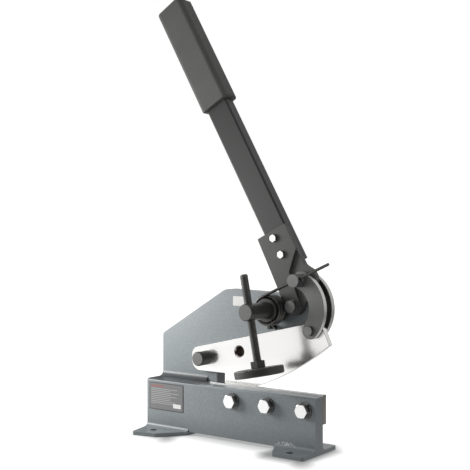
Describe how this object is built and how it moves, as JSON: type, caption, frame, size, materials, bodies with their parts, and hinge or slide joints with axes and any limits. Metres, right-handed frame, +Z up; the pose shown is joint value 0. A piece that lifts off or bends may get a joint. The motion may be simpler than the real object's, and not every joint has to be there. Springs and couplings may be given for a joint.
{
  "type": "bench lever shear",
  "caption": "Bench lever shear with a curved upper blade, a fixed lower blade on a footed rail, a long hand lever with links and return spring, and a screw hold-down.",
  "frame": {"origin": "centre of the four base holes, in the plane of the feet's underside", "axes": "+X along the rail from the shelf's end to the open throat, +Y from the rail's front towards the side plate, +Z up"},
  "size_m": [0.3297, 0.1496, 0.6811],
  "materials": {
    "frame_enamel": "semi-gloss blue-grey hammered enamel",
    "polished_blade": "ground and polished",
    "zinc_plate": "bright zinc plated",
    "black_oxide": "black oxide, oiled",
    "dark_steel": "dark phosphate",
    "link_steel": "dark grey, edges ground bright",
    "lever_paint": "satin grey paint",
    "grip_rubber": "matt moulded rubber",
    "spring_wire": "oil-tempered wire"
  },
  "bodies": {
    "root": {"frame_casting": "frame_enamel", "lower_blade": "polished_blade", "lower_blade_bolts": "zinc_plate", "lower_blade_washers": "zinc_plate", "bar_die_bush": "polished_blade", "blade_pivot_pin": "black_oxide", "blade_pivot_washer": "zinc_plate", "blade_pivot_nut": "zinc_plate", "lever_pivot_bolt": "dark_steel", "lever_pivot_washers": "dark_steel", "lever_pivot_nut": "zinc_plate", "hold_down_sleeve": "black_oxide", "spring_stop_pin": "black_oxide"},
    "blade": {"upper_blade": "polished_blade", "blade_link_pin": "black_oxide"},
    "lever": {"lever_tube": "lever_paint", "lever_grip": "grip_rubber", "cam_plate": "lever_paint", "cheek_plate": "lever_paint", "lever_bolts": "zinc_plate", "lever_nuts": "zinc_plate", "lever_bush": "polished_blade"},
    "links": {"front_link": "link_steel", "rear_link": "link_steel", "link_screws": "dark_steel"},
    "link_stud": {"link_stud": "dark_steel", "link_stud_nut": "zinc_plate", "link_spacers": "zinc_plate"},
    "spring": {"return_spring": "spring_wire"},
    "hold_down_rod": {"hold_down_rod": "black_oxide", "hold_down_rod_washer": "black_oxide", "hold_down_rod_nut": "black_oxide"},
    "hold_down_screw": {"hold_down_screw": "black_oxide", "hold_down_nut": "black_oxide", "hold_down_pad": "black_oxide"}
  },
  "joints": [
    {"name": "lever_pivot", "type": "hinge", "parent": "root", "child": "lever", "pos_m": [0.102, 0.01, 0.203], "axis": [0, 1, 0], "range_deg": [0, 112]},
    {"name": "blade_pivot", "type": "hinge", "parent": "root", "child": "blade", "pos_m": [-0.0613, 0.023, 0.1165], "axis": [0, 1, 0], "range_deg": [0, 19.4]},
    {"name": "link_pivot", "type": "hinge", "parent": "lever", "child": "links", "pos_m": [0.11748, 0.023, 0.24075], "axis": [0, 1, 0], "range_deg": [-107, 0]},
    {"name": "link_stud_turn", "type": "hinge", "parent": "lever", "child": "link_stud", "pos_m": [0.11748, 0.023, 0.24075], "axis": [0, 1, 0], "range_deg": [-51, 0]},
    {"name": "spring_turn", "type": "hinge", "parent": "root", "child": "spring", "pos_m": [0.069, 0.005, 0.197], "axis": [0, 1, 0], "range_deg": [0, 62.5], "deforming": ["return_spring"]},
    {"name": "hold_down_swing", "type": "hinge", "parent": "root", "child": "hold_down_rod", "pos_m": [0.069, 0.01, 0.197], "axis": [0, 1, 0], "range_deg": [-12, 20]},
    {"name": "hold_down_feed", "type": "slide", "parent": "hold_down_rod", "child": "hold_down_screw", "axis": [0.1942, 0, -0.981], "range_m": [-0.05, 0.022]}
  ],
  "couplings": [
    {"joint": "blade_pivot", "follows": "lever_pivot", "ratio": 0.17257},
    {"joint": "link_pivot", "follows": "lever_pivot", "ratio": -0.95078},
    {"joint": "link_stud_turn", "follows": "lever_pivot", "ratio": -0.44906},
    {"joint": "spring_turn", "follows": "lever_pivot", "ratio": 0.55094}
  ]
}
